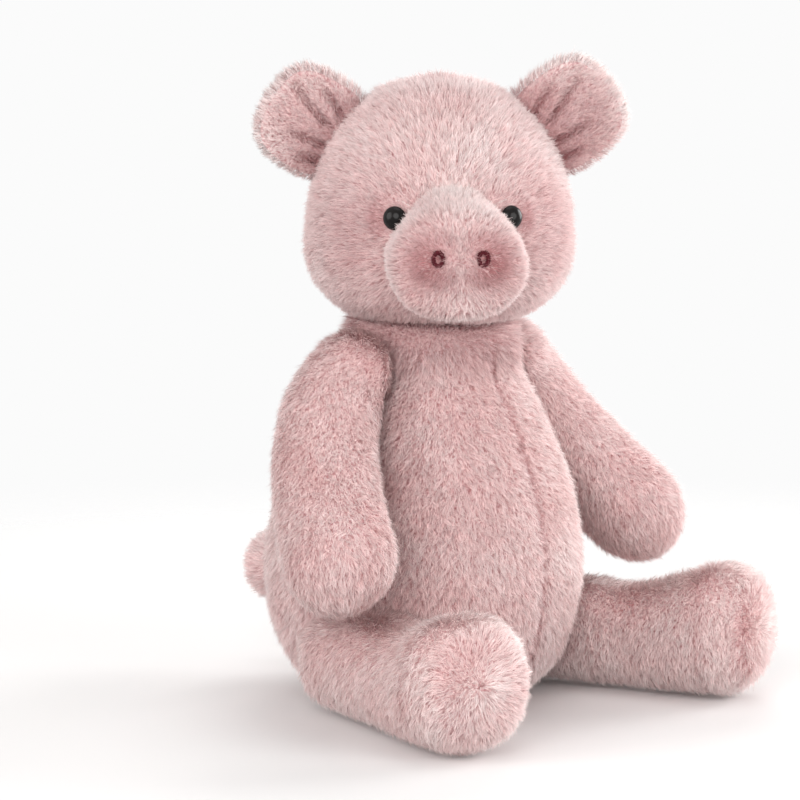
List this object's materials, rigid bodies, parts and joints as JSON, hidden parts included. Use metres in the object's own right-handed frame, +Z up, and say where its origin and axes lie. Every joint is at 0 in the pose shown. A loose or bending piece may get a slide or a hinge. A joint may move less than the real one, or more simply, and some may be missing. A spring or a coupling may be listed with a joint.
{
  "type": "plush pig",
  "caption": "Sitting stuffed pig with soft pile, black safety eyes, padded snout with stitched nostrils, cupped ears, floppy arms and legs, and a small round tail.",
  "frame": {"origin": "middle of the flat bottom that the pig sits on", "axes": "+Z up, the body faces -Y, and the pig's left side is +X"},
  "size_m": [0.2052, 0.2044, 0.2472],
  "materials": {
    "plush": "dusty pink short pile",
    "pellet_bag": "plain woven cotton",
    "thread": "dark rose embroidery thread",
    "eye_black": "polished black",
    "washer_white": "moulded white"
  },
  "bodies": {
    "body": {"body": "plush", "pellet_bag": "pellet_bag"},
    "neck": {"neck_thread": "thread"},
    "head": {"head": "plush", "snout": "plush", "nostril_left": "thread", "nostril_right": "thread", "eye_left": "eye_black", "eye_right": "eye_black", "eye_washer_left": "washer_white", "eye_washer_right": "washer_white"},
    "ear_left": {"ear_left": "plush"},
    "ear_right": {"ear_right": "plush"},
    "arm_left": {"arm_left": "plush"},
    "arm_right": {"arm_right": "plush"},
    "leg_left": {"leg_left": "plush"},
    "leg_right": {"leg_right": "plush"},
    "tail": {"tail": "plush"}
  },
  "joints": [
    {"name": "head_nod", "type": "hinge", "parent": "body", "child": "neck", "pos_m": [0, -0.0062, 0.14158], "axis": [0.766, -0.6428, 0], "range_deg": [-6, 6]},
    {"name": "head_turn", "type": "hinge", "parent": "neck", "child": "head", "pos_m": [0, -0.0062, 0.14158], "axis": [0, 0, 1], "range_deg": [-20, 100]},
    {"name": "ear_left_flop", "type": "hinge", "parent": "head", "child": "ear_left", "pos_m": [0.03074, -0.03319, 0.21475], "axis": [0.4716, -0.3957, -0.788], "range_deg": [-12, 12], "stiffness_Nm_per_rad": 0.01},
    {"name": "ear_right_flop", "type": "hinge", "parent": "head", "child": "ear_right", "pos_m": [-0.02817, 0.01625, 0.21475], "axis": [0.3945, -0.3311, 0.8572], "range_deg": [-12, 12], "stiffness_Nm_per_rad": 0.01},
    {"name": "arm_left_swing", "type": "hinge", "parent": "body", "child": "arm_left", "pos_m": [0.03469, -0.0055, 0.1245], "axis": [-0.9376, 0, -0.3477], "range_deg": [-20, 65]},
    {"name": "arm_right_swing", "type": "hinge", "parent": "body", "child": "arm_right", "pos_m": [-0.03469, -0.0055, 0.1245], "axis": [-0.9376, 0, 0.3477], "range_deg": [-20, 65]},
    {"name": "leg_left_swing", "type": "hinge", "parent": "body", "child": "leg_left", "pos_m": [0.0475, -0.008, 0.0195], "axis": [1, 0, 0], "range_deg": [0, 75]},
    {"name": "leg_right_swing", "type": "hinge", "parent": "body", "child": "leg_right", "pos_m": [-0.0475, -0.008, 0.0195], "axis": [1, 0, 0], "range_deg": [0, 75]},
    {"name": "tail_wag", "type": "hinge", "parent": "body", "child": "tail", "pos_m": [0, 0.0612, 0.0405], "axis": [0, 0, 1], "range_deg": [-15, 15], "stiffness_Nm_per_rad": 0.01}
  ]
}
